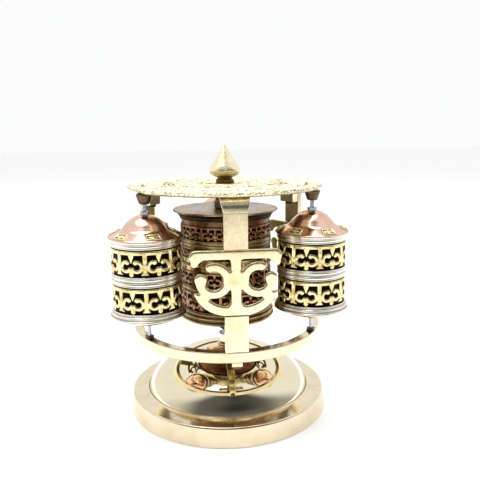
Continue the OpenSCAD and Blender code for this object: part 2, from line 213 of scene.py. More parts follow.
def scroll_frieze(u, v, cell, tall):
    """Signed distance, in millimetres, of a mirrored scroll ornament: a rail with hanging bars, volutes
    and buds between them. It is drawn 15.8 high and scaled to the band."""
    k = 15.8 / tall
    u, v = u * k, v * k
    w = cell * k / 2
    m = w - np.abs(u % (2 * w) - w)
    d = np.abs(v - 13.9) - 1.05
    bar = m - (1.15 + 1.0 * step(v, 4.2, 1.3))
    d = np.minimum(d, np.maximum(bar, np.abs(v - 7.4) - 6.2))
    cx = 0.55 * w + 0.2
    d = np.minimum(d, arc_line(m, v, cx, 6.1, 2.75, 75, 335) - 1.0)
    d = np.minimum(d, np.hypot(m - cx - 0.9, v - 8.6) - 1.35)
    d = np.minimum(d, segment(m, v, cx + 2.3, 4.5, w, 2.1) - 0.85)
    leaf = (w - m) - (0.25 + 1.35 * step(v, 8.0, 13.0))
    d = np.minimum(d, np.maximum(leaf, np.maximum(8.4 - v, v - 13.5)))
    d = np.minimum(d, np.hypot(w - m, (v - 2.0) * 0.8) - 1.35)
    return d / k


def frieze(name, radius, z, tall, cells, proud, body, mat, nodes=(), at=(0, 0, 0), pitch=0.3):
    """Raised ornament on a dark ground, wrapped round a barrel between two plain fillets."""
    around = TAU * radius
    m = int(around / pitch)
    n = int(tall / pitch) + 1
    th = np.linspace(0, TAU, m, endpoint=False)[None, :]
    v = np.linspace(0, tall, n)[:, None]
    u = th * radius
    d = scroll_frieze(u, v, around / cells, tall)
    edge = 0.22 if tall > 11 else 0.16
    high = step(-d, -edge, edge)
    high = np.where((v < 0.3) | (v > tall - 0.3), 0.0, high)
    wave = 0.05 * np.sin(th * 37 + v * 1.3) * np.sin(th * 23 - v * 0.9)
    r = radius + 0.04 + high * (proud + wave)
    verts = np.stack(np.broadcast_arrays(r * np.cos(th), r * np.sin(th), z + v), -1).reshape(-1, 3)
    return finish_mesh(name, verts, grid_faces(n, m, True), body, mat, at, nodes,
                       {"high": np.broadcast_to(high, (n, m))}, weld=False)


# ---------- materials ----------

def rgb(r, g, b):
    """A colour given as 0 to 255, as the linear values the shader takes."""
    c = np.array([r, g, b]) / 255
    c = np.where(c <= 0.04045, c / 12.92, ((c + 0.055) / 1.055) ** 2.4)
    return (*c.tolist(), 1.0)


def add(tree, kind, inputs=None, **props):
    n = tree.nodes.new(kind)
    for k, v in props.items():
        setattr(n, k, v)
    for k, v in (inputs or {}).items():
        if isinstance(v, bpy.types.NodeSocket):
            tree.links.new(v, n.inputs[k])
        else:
            n.inputs[k].default_value = v
    return n


def noise(tree, where, size, detail=4.0, roughness=0.55, dims="3D"):
    """A noise value; size is the size of its blotches in millimetres."""
    inputs = {"W" if dims == "1D" else "Vector": where, "Scale": 1 / size, "Detail": detail,
              "Roughness": roughness}
    return add(tree, "ShaderNodeTexNoise", inputs, noise_dimensions=dims).outputs[0]


def ramp(tree, value, lo, hi, out_lo, out_hi):
    return add(tree, "ShaderNodeMapRange", {0: value, 1: lo, 2: hi, 3: out_lo, 4: out_hi}).outputs[0]


def mix(tree, factor, a, b):
    return add(tree, "ShaderNodeMix", {0: factor, 6: a, 7: b}, data_type="RGBA").outputs[2]


def blend(tree, factor, a, b):
    return add(tree, "ShaderNodeMix", {0: factor, 2: a, 3: b}, data_type="FLOAT").outputs[0]


def metal(name, bright, dull, rough, stain=0.5, stain_size=14.0, turned=0.0, turned_size=0.45, grain=0.0,
          grain_size=0.8, dents=0.0, dent_size=5.0, dark=None, ground_and_shade_attribute=None, rise=(0.25, 0.75), dark_rough=0.6,
          metallic=1.0, inner_face_shade=None):
    """A worked metal: blotched colour, uneven roughness, tool lines round the axis, cast grain and hammer
    dents, and a dark colour where the named attribute says the surface is sunk, used for the real dark
    ground of a relief and for painted shade in grooves and hollows. Faces that look towards the spindle
    can be given painted shade, a darker and duller colour. Heights are in millimetres."""
    mat = bpy.data.materials.new(name)
    mat.use_nodes = True
    t = mat.node_tree
    b = t.nodes["Principled BSDF"]
    b.inputs["Metallic"].default_value = metallic
    where = add(t, "ShaderNodeTexCoord")
    mm = add(t, "ShaderNodeVectorMath", {0: where.outputs["Object"], 3: 1000.0}, operation="SCALE").outputs[0]
    part = add(t, "ShaderNodeSeparateXYZ", {0: mm})
    flat = add(t, "ShaderNodeCombineXYZ", {0: part.outputs[0], 1: part.outputs[1]}).outputs[0]
    radius = add(t, "ShaderNodeVectorMath", {0: flat}, operation="LENGTH").outputs["Value"]
    along = add(t, "ShaderNodeMath", {0: radius, 1: part.outputs[2]}, operation="ADD").outputs[0]
    blotch = noise(t, mm, stain_size, 7.0, 0.62)
    colour = mix(t, ramp(t, blotch, 0.42, 0.7, 0.0, stain), bright, dull)
    fine = noise(t, mm, 1.7, 5.0, 0.7)
    lines = noise(t, along, turned_size, 3.0, 0.6, "1D")
    mixed = blend(t, 0.45, fine, lines) if turned else fine
    roughness = ramp(t, mixed, 0.3, 0.72, rough[0], rough[1])
    roughness = blend(t, ramp(t, blotch, 0.5, 0.75, 0.0, 0.5), roughness, rough[1])
    # The dark colour follows an attribute: the real dark ground of the friezes, patina and painted shade on
    # the canopy, painted shade in the mouldings' grooves and on the finial's neck.
    if dark is not None:
        level = add(t, "ShaderNodeAttribute", attribute_name=ground_and_shade_attribute).outputs["Fac"]
        uneven = add(t, "ShaderNodeMath", {0: fine, 1: 0.4, 2: -0.2}, operation="MULTIPLY_ADD").outputs[0]
        level = add(t, "ShaderNodeMath", {0: level, 1: uneven}, operation="ADD").outputs[0]
        ends = (1.0, 0.0) if ground_and_shade_attribute == "high" else (0.0, 1.0)
        sunk = ramp(t, level, *rise, *ends)
        colour = mix(t, sunk, colour, dark)
        roughness = blend(t, sunk, roughness, dark_rough)
    # Painted shade: faces that look towards the spindle get a darker, duller colour.
    if inner_face_shade is not None:
        out = add(t, "ShaderNodeVectorMath", {0: flat}, operation="NORMALIZE").outputs[0]
        facing = add(t, "ShaderNodeVectorMath", {0: where.outputs["Normal"], 1: out}, operation="DOT_PRODUCT")
        inward_shade = ramp(t, facing.outputs["Value"], -0.35, -0.75, 0.0, 0.85)
        colour = mix(t, inward_shade, colour, inner_face_shade)
        roughness = blend(t, inward_shade, roughness, 0.42)
    t.links.new(colour, b.inputs["Base Color"])
    t.links.new(roughness, b.inputs["Roughness"])
    normal = None
    for height, size, source in ((dents, dent_size, mm), (turned, turned_size, along),
                                 (grain, grain_size, mm)):
        if height:
            dims = "1D" if source is along else "3D"
            h = lines if source is along else noise(t, source, size, 3.0, 0.5, dims)
            inputs = {"Height": h, "Distance": height * MM, "Strength": 1.0}
            if normal is not None:
                inputs["Normal"] = normal
            normal = add(t, "ShaderNodeBump", inputs).outputs[0]
    if normal is not None:
        t.links.new(normal, b.inputs["Normal"])
    return mat


BRASS = metal("brass_polished", rgb(236, 223, 194), rgb(216, 194, 150), (0.08, 0.2), turned=0.0006,
              grain=0.0012, stain=0.55)
MIRROR = metal("brass_mirror", rgb(240, 230, 202), rgb(226, 208, 168), (0.02, 0.05), stain=0.4, stain_size=25,
               turned=0.0004, turned_size=1.2)
# brass_satin's dark colour is painted shade on the finial's neck, under its belly.
SATIN = metal("brass_satin", rgb(252, 242, 208), rgb(232, 210, 160), (0.2, 0.36), stain=0.5, stain_size=7,
              turned=0.0015, turned_size=0.5, dark=rgb(116, 88, 44), ground_and_shade_attribute="low", rise=(0.15, 1.0),
              dark_rough=0.35)
# brass_flat and brass_lug paint shade on their faces that look towards the spindle.
FLAT_BRASS = metal("brass_flat", rgb(254, 240, 200), rgb(232, 208, 156), (0.12, 0.3), stain=0.8, stain_size=9,
                   grain=0.003, grain_size=0.7, dents=0.02, dent_size=7, inner_face_shade=rgb(118, 104, 68))
LUG = metal("brass_lug", rgb(250, 236, 200), rgb(206, 182, 134), (0.14, 0.3), stain=0.7, stain_size=5,
            grain=0.006, grain_size=0.8, dents=0.03, dent_size=5, inner_face_shade=rgb(84, 70, 46))
# brass_cast's dark colour in the canopy's grooves is patina and painted shade.
CAST = metal("brass_cast", rgb(244, 234, 202), rgb(208, 190, 142), (0.2, 0.4), stain_size=5, grain=0.02,
             grain_size=0.5, dark=rgb(140, 118, 74), ground_and_shade_attribute="high", rise=(0.1, 0.7), dark_rough=0.5)
RELIEF = metal("brass_relief", rgb(255, 240, 184), rgb(176, 146, 80), (0.06, 0.2), stain=1.0, stain_size=9,
               grain=0.004, grain_size=0.9, dark=rgb(20, 14, 9), ground_and_shade_attribute="high", rise=(0.3, 0.75),
               dark_rough=0.55)
COPPER_RELIEF = metal("copper_relief", rgb(164, 122, 92), rgb(104, 74, 54), (0.1, 0.28), stain_size=6,
                      grain=0.006, dark=rgb(26, 17, 13), ground_and_shade_attribute="high", rise=(0.3, 0.8), dark_rough=0.5)
COPPER = metal("copper_polished", rgb(238, 202, 182), rgb(204, 148, 122), (0.08, 0.2), stain=0.6,
               stain_size=11, turned=0.0006, dents=0.1, dent_size=9)
AGED = metal("copper_aged", rgb(166, 142, 124), rgb(104, 80, 64), (0.16, 0.36), stain=0.8, stain_size=13,
             turned=0.0015, turned_size=0.35, grain=0.004)
PLAIN_COPPER = metal("copper_band", rgb(140, 102, 78), rgb(76, 54, 40), (0.2, 0.38), stain=0.8, stain_size=8,
                     grain=0.006)
# Painted shade: the dark colours of white_metal and brass_antique fill the grooves between the beads.
WHITE = metal("white_metal", rgb(255, 251, 240), rgb(216, 206, 182), (0.07, 0.2), stain=0.7, stain_size=9,
              turned=0.001, dark=rgb(74, 64, 48), ground_and_shade_attribute="low", rise=(0.55, 1.3), dark_rough=0.5)
ANTIQUE = metal("brass_antique", rgb(196, 172, 122), rgb(108, 88, 58), (0.08, 0.22), stain=0.8, stain_size=9,
                turned=0.0012, dark=rgb(36, 27, 18), ground_and_shade_attribute="low", rise=(0.2, 1.0))
STEEL = metal("steel_turned", rgb(186, 192, 204), rgb(146, 152, 166), (0.14, 0.3), stain_size=5,
              turned=0.0015, turned_size=0.3)
BLACK = metal("steel_blackened", rgb(38, 36, 36), rgb(70, 60, 52), (0.3, 0.5), stain_size=3, grain=0.01,
              metallic=0.8)
BRONZE = metal("bronze_dark", rgb(112, 94, 72), rgb(52, 42, 32), (0.24, 0.42), stain=0.8, stain_size=3,
               grain=0.006)
GROUND = metal("barrel_black", rgb(30, 24, 20), rgb(52, 40, 30), (0.4, 0.6), stain_size=4, grain=0.01,
               metallic=0.7)
PAPER = metal("paper_roll", rgb(222, 206, 170), rgb(196, 174, 132), (0.8, 0.95), stain_size=8, turned=0.05,
              turned_size=0.3, grain=0.02, metallic=0.0)
PLAQUE = metal("brass_plaque", rgb(244, 230, 180), rgb(206, 176, 104), (0.16, 0.34), stain_size=3,
               grain=0.006, grain_size=0.5, dark=rgb(60, 42, 22), ground_and_shade_attribute="high", rise=(0.35, 0.75),
               dark_rough=0.5)


# ---------- base ----------

def reach(node):
    lo, hi = box(node)
    return max(hi.x, hi.y, -lo.x, -lo.y)


def base():
    foot, dome_r = reach("base_rim"), reach("base_dome")
    hi = box("base_rim")[1]
    bead = hi.z - 0.9
    lathe("foot_ring", [rounded(
        [(foot - 2.6, 0, 0), (foot, 0, 0.35), (foot, 1, 0.3)]
        + [(*q, 0) for q in arc(foot - 2.8, hi.z - 3, 1.4, 1.4, 0, 80, 8)]
        + [(dome_r + 1.7, bead - 0.05, 0.3)]
        + [(*q, 0) for q in arc(dome_r + 0.72, bead, 0.6, 0.6, 10, 170, 10)]
        + [(dome_r + 0.12, bead, 0), (dome_r + 0.12, bead - 2.2, 0), (dome_r - 2.8, bead - 2.2, 0),
           (dome_r - 2.8, bead - 4.2, 0), (foot - 2.6, bead - 4.2, 0)], 0.3)],
        "base", BRASS, nodes=["base_rim"], segments=256)
    lo, hi = box("base_dome")
    sole = lo.z + 2.5
    rise = hi.z - sole
    stem = 3.5
    edge = 10
    wide = dome_r / math.cos(math.radians(edge))
    tall = (rise + 0.05) / (1 - math.sin(math.radians(edge)))
    mid = hi.z + 0.05 - tall
    outer = arc(0, mid, wide, tall, edge, math.degrees(math.acos(stem / wide)), 90)
    inner = arc(0, mid, wide - 1.5, tall - 1.5, edge, math.degrees(math.acos(stem / (wide - 1.5))), 60)
    lathe("dome", [[(dome_r, lo.z)] + outer + inner[::-1] + [(inner[0][0], lo.z)]], "base", MIRROR,
          nodes=["base_dome"], segments=256)
    lo, hi = box("pivot_bush")
    apex = hi.z - 7.0
    bore = 2.33
    lathe("bush", [rounded([(bore, lo.z), (3.5, lo.z), (3.5, apex), (6.5, apex), (6.5, apex + 0.9),
                            (5.0, apex + 2.2), (4.5, hi.z), (bore, hi.z)], 0.35)],
          "base", BRASS, nodes=["pivot_bush"], segments=96)


# ---------- carousel ----------

def ring_and_bar():
    lo, hi = box("lower_ring")
    r = reach("lower_ring")
    inner = r - 5.8
    lathe("hoop", [rounded([(inner, lo.z), (r, lo.z), (r, hi.z), (inner, hi.z)], 0.55, 5)],
          "carousel", BRASS, nodes=["lower_ring"], segments=256)


def finial():
    lo, hi = box("finial")
    z = lo.z
    belly = reach("finial")
    neck = [(2.3, z), (5.6, z), (5.8, z + 0.3), (5.8, z + 1.3), (5.5, z + 1.7), (4.8, z + 2.1),
            (4.7, z + 2.7)]
    body = smooth([(4.7, z + 2.7), (6.6, z + 3.4), (8.9, z + 5.0), (belly, z + 7.3), (9.35, z + 9.2),
                   (7.9, z + 11.6), (6.0, z + 14.6), (3.75, z + 18.3), (1.7, z + 21.6), (0.55, z + 23.6),
                   (0.0, hi.z)], 10)
    point = lathe("finial_point", [neck + body[1:] + [(0.0, z + 13.5), (2.3, z + 13.4)]], "carousel", SATIN,
                  nodes=["finial"], segments=128)
    height = np.array([v.co.z for v in point.data.vertices]) / MM
    # Painted shade: the neck under the belly is darkened, fading out towards the belly.
    point.data.attributes["low"].data.foreach_set("value", 1 - step(height, z + 1.6, z + 6.5))
    lo, hi = box("finial_washer")
    washer = reach("finial_washer")
    lathe("finial_seat", [rounded([(2.3, lo.z), (washer, lo.z), (washer, hi.z), (2.3, hi.z)], 0.2)],
          "carousel", BRONZE, nodes=["finial_washer"], segments=96)


def canopy():
    """The cast disc: rope edge, bead rings, a zone of scrolled petals and an open lotus round the finial."""
    lo, hi = box("top_disc")
    rim = reach("top_disc")
    m, rings = 1080, 260
    ground = hi.z - 1.3
    rr = np.linspace(6.0, rim, rings)[:, None]
    th = np.linspace(0, TAU, m, endpoint=False)[None, :]
    rng = np.random.default_rng(SEED)
    lumps = sum(a * np.sin(k * th + p) for k, a, p in
                zip(rng.integers(5, 60, 14), rng.uniform(0.02, 0.09, 14), rng.uniform(0, TAU, 14)))
    pebble = sum(np.sin(rr * f + th * k + p) * np.sin(rr * g - th * j + q) for f, g, k, j, p, q in
                 zip(rng.uniform(0.9, 3.4, 9), rng.uniform(0.9, 3.4, 9), rng.integers(40, 190, 9),
                     rng.integers(40, 190, 9), rng.uniform(0, TAU, 9), rng.uniform(0, TAU, 9)))
    pebble = np.clip(pebble / 3.2 + 0.5, 0, 1)

    def ridge(at, half):
        return np.clip(1 - ((rr - at) / half) ** 2, 0, 1) ** 0.5 + 0 * th

    row = (rim - rr) / 2.3
    jitter = 0.5 * np.sin(th * 13 + row) + 0.4 * np.sin(th * 29 - 2 * row)
    rope = np.abs(np.sin(th * 78 + jitter + np.floor(row) * math.pi / 2)) ** 0.5
    knobs = rope * np.abs(np.sin(row * math.pi + 0.35 * np.sin(th * 21))) ** 0.5
    h = np.where(rr > rim - 6.9, 0.25 + 1.15 * knobs * (0.55 + 0.45 * pebble), 0.0)
    h = np.maximum(h, 1.1 * ridge(rim - 7.9, 1.0) * (0.6 + 0.4 * np.abs(np.sin(th * 70))))
    h = np.maximum(h, 1.05 * ridge(37.6, 0.9))
    h = np.maximum(h, 1.0 * ridge(34.6, 0.9))
    h = np.maximum(h, 1.2 * ridge(13.5, 1.2))
    petals = 16
    w = TAU / petals
    a = (np.abs((th % w) - w / 2)) * 46
    outer = np.maximum(np.abs(np.hypot(a * 1.25, rr - 42.5) - 6.2) - 1.0, 39.2 - rr)
    vein = np.maximum(a - 1.1 * np.clip((52 - rr) / 9, 0, 1), np.abs(rr - 45.5) - 5.2)
    curl = arc_line(a, rr + 0 * th, 6.4, 49.6, 2.2, 150, 420) - 0.95
    zone = np.minimum(np.minimum(outer, vein), curl)
    zone = np.where((rr > 38.6) & (rr < rim - 9.0), zone, 5.0)
    h = np.maximum(h, 1.35 * step(-zone, -0.35, 0.45) * (0.6 + 0.4 * pebble))
    leaves = 12
    w = TAU / leaves
    b = np.abs((th % w) - w / 2) * rr
    lotus = np.abs(b - (4.6 * np.sin(np.clip((rr - 15) / 18.0, 0, 1) * math.pi) ** 0.7)) - 0.85
    lotus = np.minimum(lotus, np.maximum(b - 0.7, np.abs(rr - 23) - 6))
    lotus = np.where((rr > 15.0) & (rr < 33.4), lotus, 5.0)
    h = np.maximum(h, 1.3 * step(-lotus, -0.35, 0.45) * (0.65 + 0.35 * pebble))
    h = np.maximum(h, 1.3 * step(-rr, -9.6, -8.4))
    h = h + 0.3 * pebble * step(rr, 10, 12)
    for at, half in ((36.1, 0.7), (39.4, 0.7), (rim - 9.4, 0.6), (15.4, 0.7), (52.0, 0.5)):
        h = h * (1 - 0.85 * ridge(at, half))
    top = ground + h - step(rr, rim - 1.6, rim) * 0.9
    tooth = 0.45 * (rope - 1)
    out = rr + (lumps + tooth) * step(rr, rim - 3, rim) - 0.2 * step(rr, rim - 2, rim)
    grid = [np.stack((out * np.cos(th), out * np.sin(th), top + 0 * th), -1)]
    side = rim + lumps + tooth[-1:] - 0.2
    for inset, z in ((0.0, hi.z - 1.7), (0.15, lo.z + 1.0), (0.7, lo.z + 0.4), (1.8, lo.z + 0.02)):
        grid.append(np.stack(((side - inset) * np.cos(th), (side - inset) * np.sin(th), z + 0 * th), -1))
    for r in (56, 44, 30, 16, 2.4):
        grid.append(np.stack((r * np.cos(th), r * np.sin(th), lo.z + 0 * th), -1))
    grid.insert(0, np.stack((2.4 * np.cos(th), 2.4 * np.sin(th), hi.z + 0 * th), -1))
    below = [np.full((1, m), 0.75)] * 4 + [np.full((1, m), 0.8)] * 5
    # The high value darkens the grooves between the lumps and rings: patina and painted shade.
    high = [np.full((1, m), 0.9), np.clip(h / 1.2, 0, 1)] + below
    high = np.concatenate([np.broadcast_to(x, (len(x), m)) for x in high])
    verts = np.concatenate(grid)
    finish_mesh("canopy", verts.reshape(-1, 3), grid_faces(len(verts), m, True), "carousel", CAST,
                nodes=["top_disc"], values={"high": high}, weld=False)


def soften(node, mat, voxel, passes):
    """Gives a flat CAD piece the soft edges of a casting."""
    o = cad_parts[node]
    mod = o.modifiers.new("cast", "REMESH")
    mod.mode, mod.voxel_size, mod.use_smooth_shade = "VOXEL", voxel * MM, True
    mod = o.modifiers.new("polish", "SMOOTH")
    mod.iterations, mod.factor = passes, 0.5
    paint(node, mat)


def bevel(node, mat, width):
    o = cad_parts[node]
    weld = o.modifiers.new("weld", "WELD")
    weld.merge_threshold = 1e-6
    mod = o.modifiers.new("edges", "BEVEL")
    mod.width, mod.segments, mod.limit_method, mod.angle_limit = width * MM, 3, "ANGLE", math.radians(35)
    mod.harden_normals = False
    for p in o.data.polygons:
        p.use_smooth = True
    weighted(o)
    paint(node, mat)


def paint(node, mat):
    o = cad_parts[node]
    for i in range(len(o.data.materials)):
        o.data.materials[i] = mat
    if not o.data.materials:
        o.data.materials.append(mat)


def painted_lug_shadows():
    """A painted shadow: a dark strip along the foot of each lug's leg, where the leg meets its post."""
    lug_tall, half_wide = 8.5, 6.45
    foot, face = box("post_brackets")[1].z - lug_tall, reach("lower_ring") - 0.5
    across = np.linspace(-half_wide, half_wide, 27)
    for i, turn in enumerate((0, TAU / 3, 2 * TAU / 3)):
        verts, faces = [], []
        for k, x in enumerate(across):
            wave = 0.05 * math.sin(1.7 * k + 2 * i)
            for z, out in ((0.05, 0.0), (0.02, 0.86), (-0.22 + wave, 0.72), (-0.4 + wave, 0.0)):
                y = -(face + out)
                verts.append((x * math.cos(turn) - y * math.sin(turn),
                              x * math.sin(turn) + y * math.cos(turn), foot + z))
            if k:
                faces += [(4 * k - 4 + j, 4 * k - 3 + j, 4 * k + 1 + j, 4 * k + j) for j in range(3)]
        faces += [(0, 1, 2, 3), tuple(len(verts) - 4 + j for j in range(4))]
        finish_mesh("lug_shadow_line_" + ("front", "right", "left")[i], verts, faces, "carousel", BRONZE)


def carousel():
    ring_and_bar()
    finial()
    canopy()
    for side in ("front", "right", "left"):
        soften("scroll_plate_" + side, FLAT_BRASS, 0.36, 60)
        bevel("post_" + side, FLAT_BRASS, 0.3)
    bevel("cross_bar", FLAT_BRASS, 0.25)
    bevel("post_brackets", LUG, 0.3)
    # Dark strips painted as shadow lines under the lugs' legs.
    painted_lug_shadows()
    bevel("bracket_screws", BLACK, 0.15)
    bevel("cross_bar_screws", BRONZE, 0.2)
    bevel("clamp_nut", BLACK, 0.25)
    bevel("spindle_lock_nuts", BLACK, 0.25)
    bevel("centre_retaining_nut", BRONZE, 0.6)
    bevel("axle_foot_nuts", BRONZE, 0.15)
    bevel("centre_rest_collar", BRASS, 0.2)
    for name in ("spindle", "axle_right", "axle_rear", "axle_left", "axle_rest_collars", "thrust_washer"):
        bevel(name, STEEL, 0.12)
    bevel("axle_bushes", BRONZE, 0.15)


# ---------- wheels ----------

def beads(z, sizes, r0, r1, swell):
    """The outer line of a turned moulding, from the bottom up: round beads of those heights."""
    total = sum(sizes)
    out = []
    at = 0.0
    for s in sizes:
        for k in range(9):
            t = k / 8
            y = at + s * t
            base_r = r0 + (r1 - r0) * y / total
            out.append((base_r - 0.12 + swell * min(s, 2.2) * math.sin(math.pi * t) ** 0.7, z + y))
        at += s
    return out


def moulding(inner, z, tall, sizes, r0, r1, swell):
    k = tall / sum(sizes)
    line = beads(z, [s * k for s in sizes], r0, r1, swell)
    return [(inner, z)] + line + [(inner, z + tall)]


def small_wheels():
    barrel = reach_local("right_barrel")
    lo, hi = box("right_mouldings")
    foot, top = lo.z, hi.z
    flo, fhi = box("right_friezes")
    tall = 15.8
    lid_lo, lid_hi = box("right_lid")
    mid = flo.z + tall
    band = barrel + 0.8
    rings = [moulding(barrel, foot, flo.z - foot, [1.5, 0.7, 1.3, 0.7, 0.7], barrel + 2.6, band, 0.4),
             moulding(barrel, mid, fhi.z - tall - mid, [0.7, 1.9, 0.5, 1.9, 0.7], band, band, 0.36),
             moulding(barrel, fhi.z, top - fhi.z, [0.8, 1.5, 0.6, 1.3], barrel + 0.7, barrel + 1.4, 0.34)]
    crown = lid_hi.z
    hat = smooth([(2.95, crown - 0.1), (5.2, crown - 0.8), (8.2, crown - 2.35), (10.8, crown - 4.55),
                  (12.9, crown - 7.0), (14.6, crown - 8.8), (17.0, lid_lo.z + 3.3), (20.0, lid_lo.z + 1.9),
                  (22.0, lid_lo.z + 0.95)], 8)
    brim = [(22.45, lid_lo.z + 0.7), (22.6, lid_lo.z + 0.4), (22.4, lid_lo.z + 0.05), (barrel - 1, lid_lo.z)]
    under = [(q[0] - 0.5, q[1] - 0.9) for q in hat[::-1] if 2.9 < q[0] - 0.5 < barrel - 1.2]
    under = [q for q in under if q[1] > lid_lo.z + 0.1] + [(2.95, crown - 1.0)]
    cap_lo, cap_hi = box("right_base_cap")
    drop = cap_lo.z
    ledge = cap_hi.z - 2
    bowl = arc(0, ledge, barrel - 0.9, ledge - drop, 0, -math.degrees(math.acos(2.95 / (barrel - 0.9))), 30)
    shell = arc(0, ledge, barrel - 1.8, ledge - drop - 0.9, 0,
                -math.degrees(math.acos(2.95 / (barrel - 1.8))), 30)
    shared = {}
    for side in ("right", "rear", "left"):
        blo, bhi = box(side + "_tube")
        at = ((blo.x + bhi.x) / 2, (blo.y + bhi.y) / 2, 0)
        body = side + "_wheel"

        def piece(key, make, nodes):
            if key not in shared:
                o = make()
                shared[key] = o.data
                o.name = o.data.name = f"{side}_{key}"
            else:
                o = place(f"{side}_{key}", shared[key], body, at, nodes)
                if key in ("rings", "hat", "cap"):
                    weighted(o)

        # The groove value paints shade into the grooves between the beads.
        piece("rings", lambda: lathe("rings", rings, body, WHITE, at, [side + "_mouldings"], 144, 0.9),
              [side + "_mouldings"])
        piece("scrolls", lambda: small_friezes(barrel, flo.z, fhi.z - tall, tall, body, at,
                                               [side + "_friezes"]),
              [side + "_friezes"])
        piece("hat", lambda: lathe("hat", [hat + brim + under], body, COPPER, at, [side + "_lid"], 144),
              [side + "_lid"])
        piece("plaques", lambda: plaques(hat, body, at, [side + "_lid_plaques"]), [side + "_lid_plaques"])
        piece("cap", lambda: lathe("cap", [[(barrel - 0.9, cap_hi.z)] + bowl + shell[::-1]
                                           + [(barrel - 1.8, cap_hi.z)]], body, COPPER, at,
                                   [side + "_base_cap"], 144), [side + "_base_cap"])
        bevel(side + "_barrel", GROUND, 0.1)
        bevel(side + "_tube", STEEL, 0.15)
        bevel(side + "_prayer_roll", PAPER, 0.2)


def reach_local(node):
    lo, hi = box(node)
    return round(max(hi.x - lo.x, hi.y - lo.y) / 2, 1)


def small_friezes(barrel, z1, z2, tall, body, at, nodes):
    a = frieze("scrolls", barrel, z1, tall, 8, 0.78, body, RELIEF, nodes, at)
    b = frieze("upper", barrel, z2, tall, 8, 0.78, body, RELIEF, (), at)
    bm = bmesh.new()
    bm.from_mesh(a.data)
    bm.from_mesh(b.data)
    bm.to_mesh(a.data)
    bm.free()
    bpy.data.objects.remove(b)
    return a


def plaques(hat, body, at, nodes):
    """Six small cast plates on the flare of a lid, each with a raised border and a leaf."""
    line_r = [q[0] for q in hat]
    line_z = [q[1] for q in hat]
    verts, faces, high = [], [], []
    n, m = 22, 30
    s = np.linspace(-1, 1, n)[:, None]
    t = np.linspace(-1, 1, m)[None, :]
    half_r, half_w = 2.5, 4.2
    x, y = s * half_r, t * half_w
    border = np.maximum(np.abs(x) - half_r, np.abs(y) - half_w) + 0.75
    leaf = np.maximum(np.abs(x) * 0.9 + np.abs(y) * 0.62 - 1.3, 0)
    petal = np.hypot(np.abs(y) - 1.9, x) - 0.8
    raised = np.maximum(step(-np.abs(border - 0.3) + 0.42, -0.12, 0.12),
                        np.maximum(step(0.12 - leaf, -0.1, 0.1), step(-petal, -0.12, 0.12)))
    for i in range(6):
        mid = math.radians(60 * i - 74)
        r = 19.3 + x
        th = mid + y / 19.3
        lift = 0.42 + 0.3 * raised
        rim_ = (np.abs(s) > 0.999) | (np.abs(t) > 0.999)
        z = np.interp(r + 0 * th, line_r, line_z) + np.where(rim_, -0.1, lift)
        v = np.stack(np.broadcast_arrays(r * np.cos(th), r * np.sin(th), z), -1).reshape(-1, 3)
        faces += [tuple(k + i * n * m for k in f) for f in grid_faces(n, m, False)]
        verts.append(v)
        high.append(np.broadcast_to(np.where(rim_, 0.4, 0.35 + 0.65 * raised), (n, m)).ravel())
    return finish_mesh("plaques", np.concatenate(verts), faces, body, PLAQUE, at, nodes,
                       {"high": np.concatenate(high)}, weld=False)


def centre_wheel():
    r = reach_local("centre_barrel")
    lo, hi = box("centre_mouldings")
    z0, flare_top = lo.z, hi.z
    flo = box("centre_friezes")[0]
    tall = [12.4, 10.0, 7.2, 9.1]
    band = [3.6, 7.5, 4.6]
    cells = [14, 18, 24, 20]
    z = flo.z
    rings = [moulding(r, z0, flo.z - z0, [2.0, 0.9, 1.9, 0.8, 1.2, 0.8], r + 2.1, r + 0.6, 0.36)]
    pearl_z = 0
    for i, h in enumerate(tall):
        frieze(f"centre_scrolls_{i + 1}", r, z, h, cells[i], 0.68, "centre_wheel", COPPER_RELIEF,
               ["centre_friezes"] if i == 0 else (), pitch=0.28)
        z += h
        if i < 3:
            sizes = [[0.7, 2.0, 0.7], [0.9, 0.6, 4.2, 0.6, 0.9], [0.7, 1.4, 0.5, 1.4, 0.7]][i]
            swell = [0.34, 0.06, 0.34][i]
            rings.append(moulding(r, z, band[i], sizes, r + 0.7, r + 0.7, swell))
            pearl_z = z + band[i] / 2 if i == 1 else pearl_z
            z += band[i]
    neck = z + 2.6
    rise = flare_top - neck
    cove = smooth([(r + 0.5, neck), (r + 0.95, neck + 0.35), (r + 0.7, neck + 0.8), (r + 1.5, neck + 1.5),
                   (r + 1.3, neck + 1.75), (r + 2.4, neck + 2.8), (r + 2.2, neck + 3.0),
                   (r + 4.0, neck + rise - 0.35), (r + 4.9, neck + rise - 0.1)], 6)
    rings.append([(r, neck)] + cove + [(r + 4.9, neck + rise), (r, neck + rise)])
    # The groove value paints shade into the grooves between the mouldings.
    lathe("centre_rings", rings, "centre_wheel", ANTIQUE, nodes=["centre_mouldings"], segments=200,
          groove=0.9)
    pearls(r + 0.75, pearl_z, 66, 1.05)
    lo, hi = box("centre_lid")
    lid = reach("centre_lid")
    under, face = lo.z, hi.z - 0.15
    lathe("centre_cover", [rounded([(4.2, under), (lid - 0.2, under, 0.2), (lid, face - 0.35, 0.25),
                                    (lid - 0.35, hi.z, 0.25), (lid - 1.2, face, 0.3),
                                    (lid - 7.0, face - 0.12, 0), (14.0, face - 0.05, 0), (4.2, face)],
                                   0.2, 5)],
          "centre_wheel", AGED, nodes=["centre_lid"], segments=200)
    for name, mat, width in (("centre_barrel", PLAIN_COPPER, 0.1), ("centre_base_cap", PLAIN_COPPER, 0.2),
                             ("centre_tube", COPPER, 0.15), ("centre_prayer_roll", PAPER, 0.3)):
        bevel(name, mat, width)


